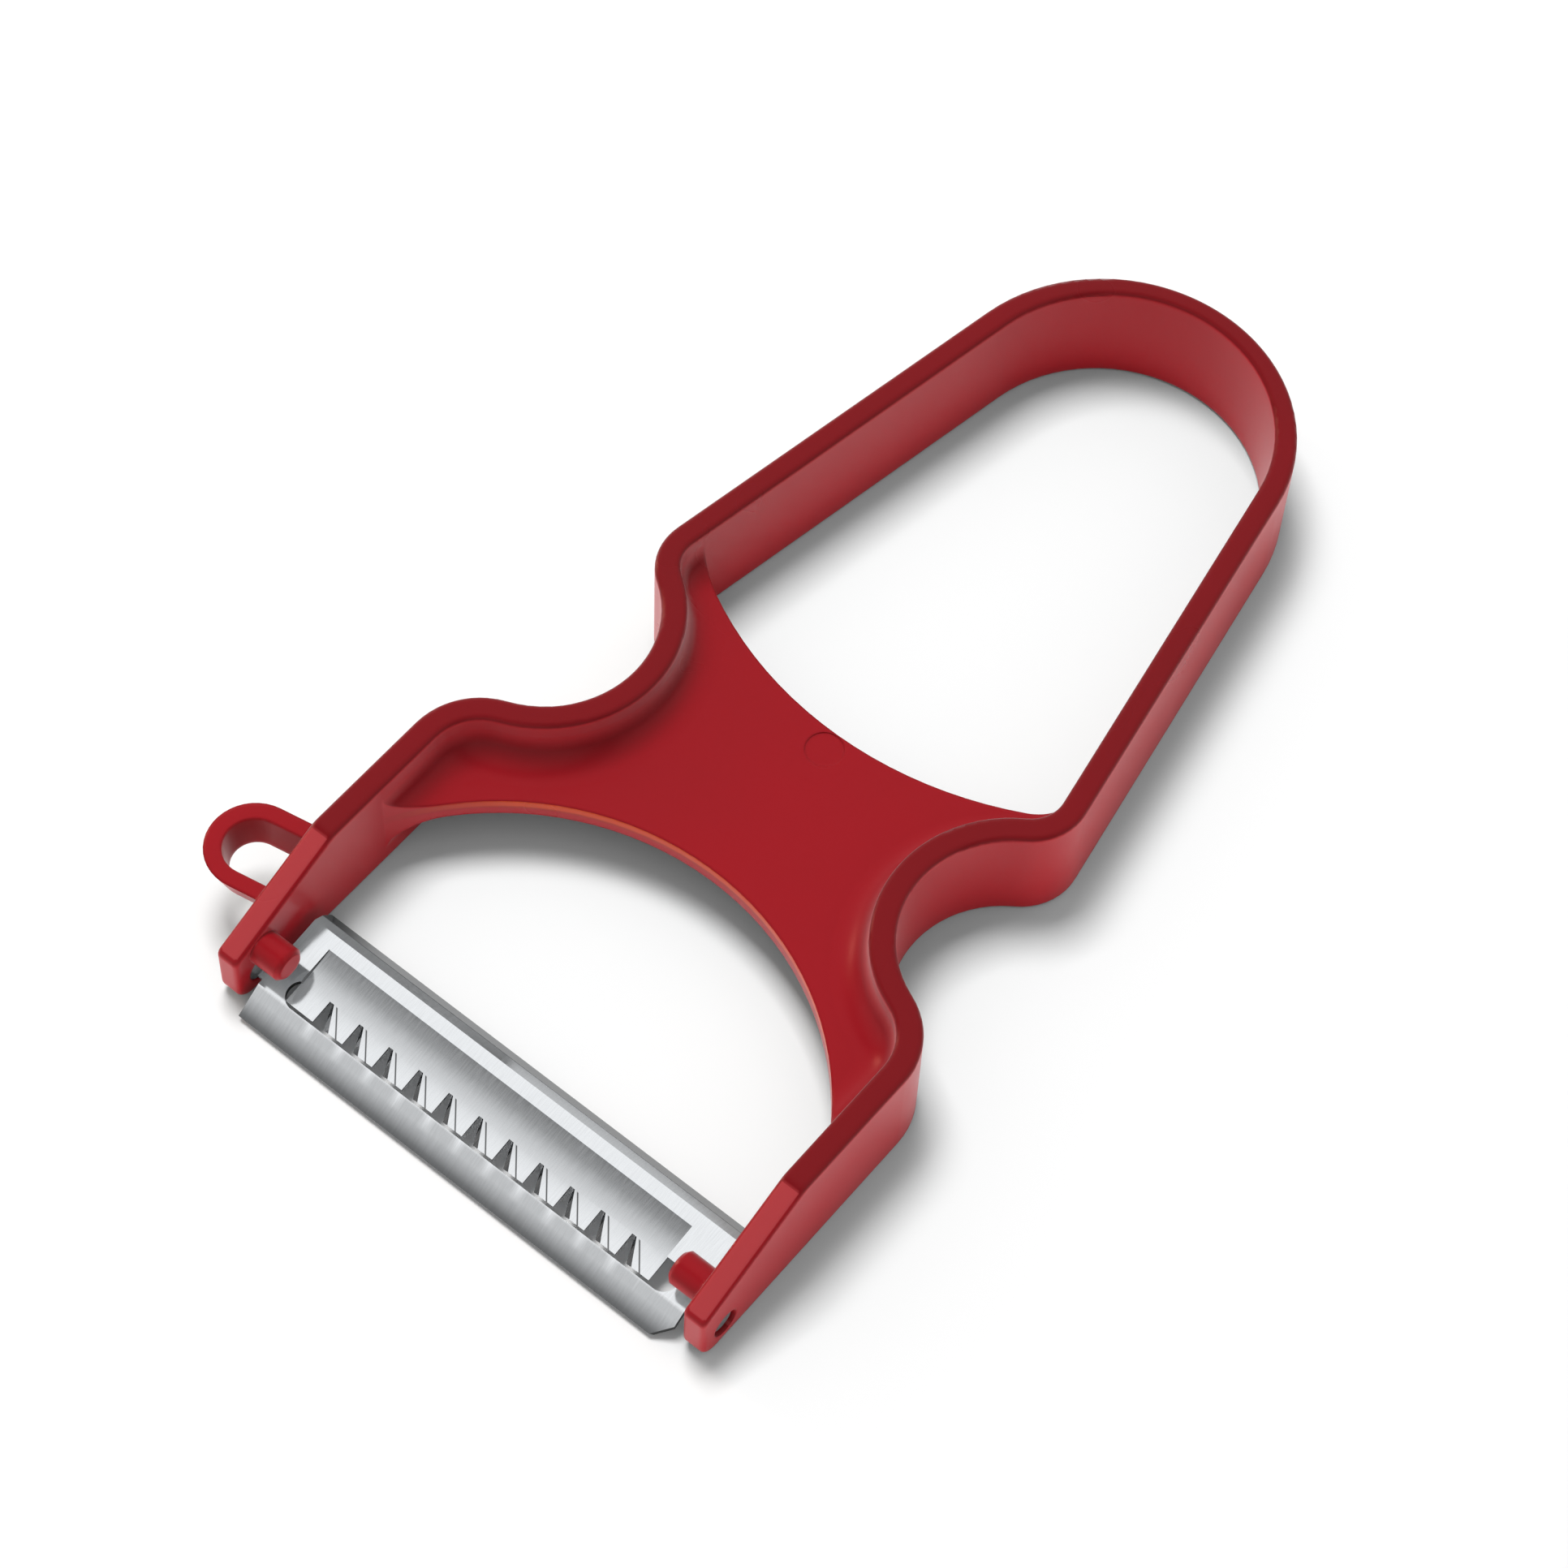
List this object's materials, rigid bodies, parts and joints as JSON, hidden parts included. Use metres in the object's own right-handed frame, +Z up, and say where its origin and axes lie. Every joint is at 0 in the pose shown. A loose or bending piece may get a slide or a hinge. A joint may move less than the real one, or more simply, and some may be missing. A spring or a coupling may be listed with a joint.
{
  "type": "vegetable peeler",
  "caption": "Y-shaped peeler: a moulded loop handle with two arms that carry a swivelling serrated blade, and a small eye remover on the outside of one arm.",
  "frame": {"origin": "middle of the footprint, on the plane that the tool's underside rests on", "axes": "+Z up from the underside to the rim, +Y along the tool from the blade to the loop handle, +X across from the arm with the eye remover to the plain arm"},
  "size_m": [0.0666, 0.116, 0.0128],
  "materials": {
    "red_plastic": "smooth moulded, slightly glossy, deep red",
    "blade_steel": "polished stainless sheet with a fine-ground toothed face",
    "pin_steel": "plain turned steel"
  },
  "bodies": {
    "frame": {"frame": "red_plastic"},
    "blade": {"blade": "blade_steel", "pivot_pin_left": "pin_steel", "pivot_pin_right": "pin_steel"}
  },
  "joints": [
    {"name": "blade_swivel", "type": "hinge", "parent": "frame", "child": "blade", "pos_m": [0.00426, -0.0536, 0.00275], "axis": [1, 0, 0], "range_deg": [-77, 30]}
  ]
}
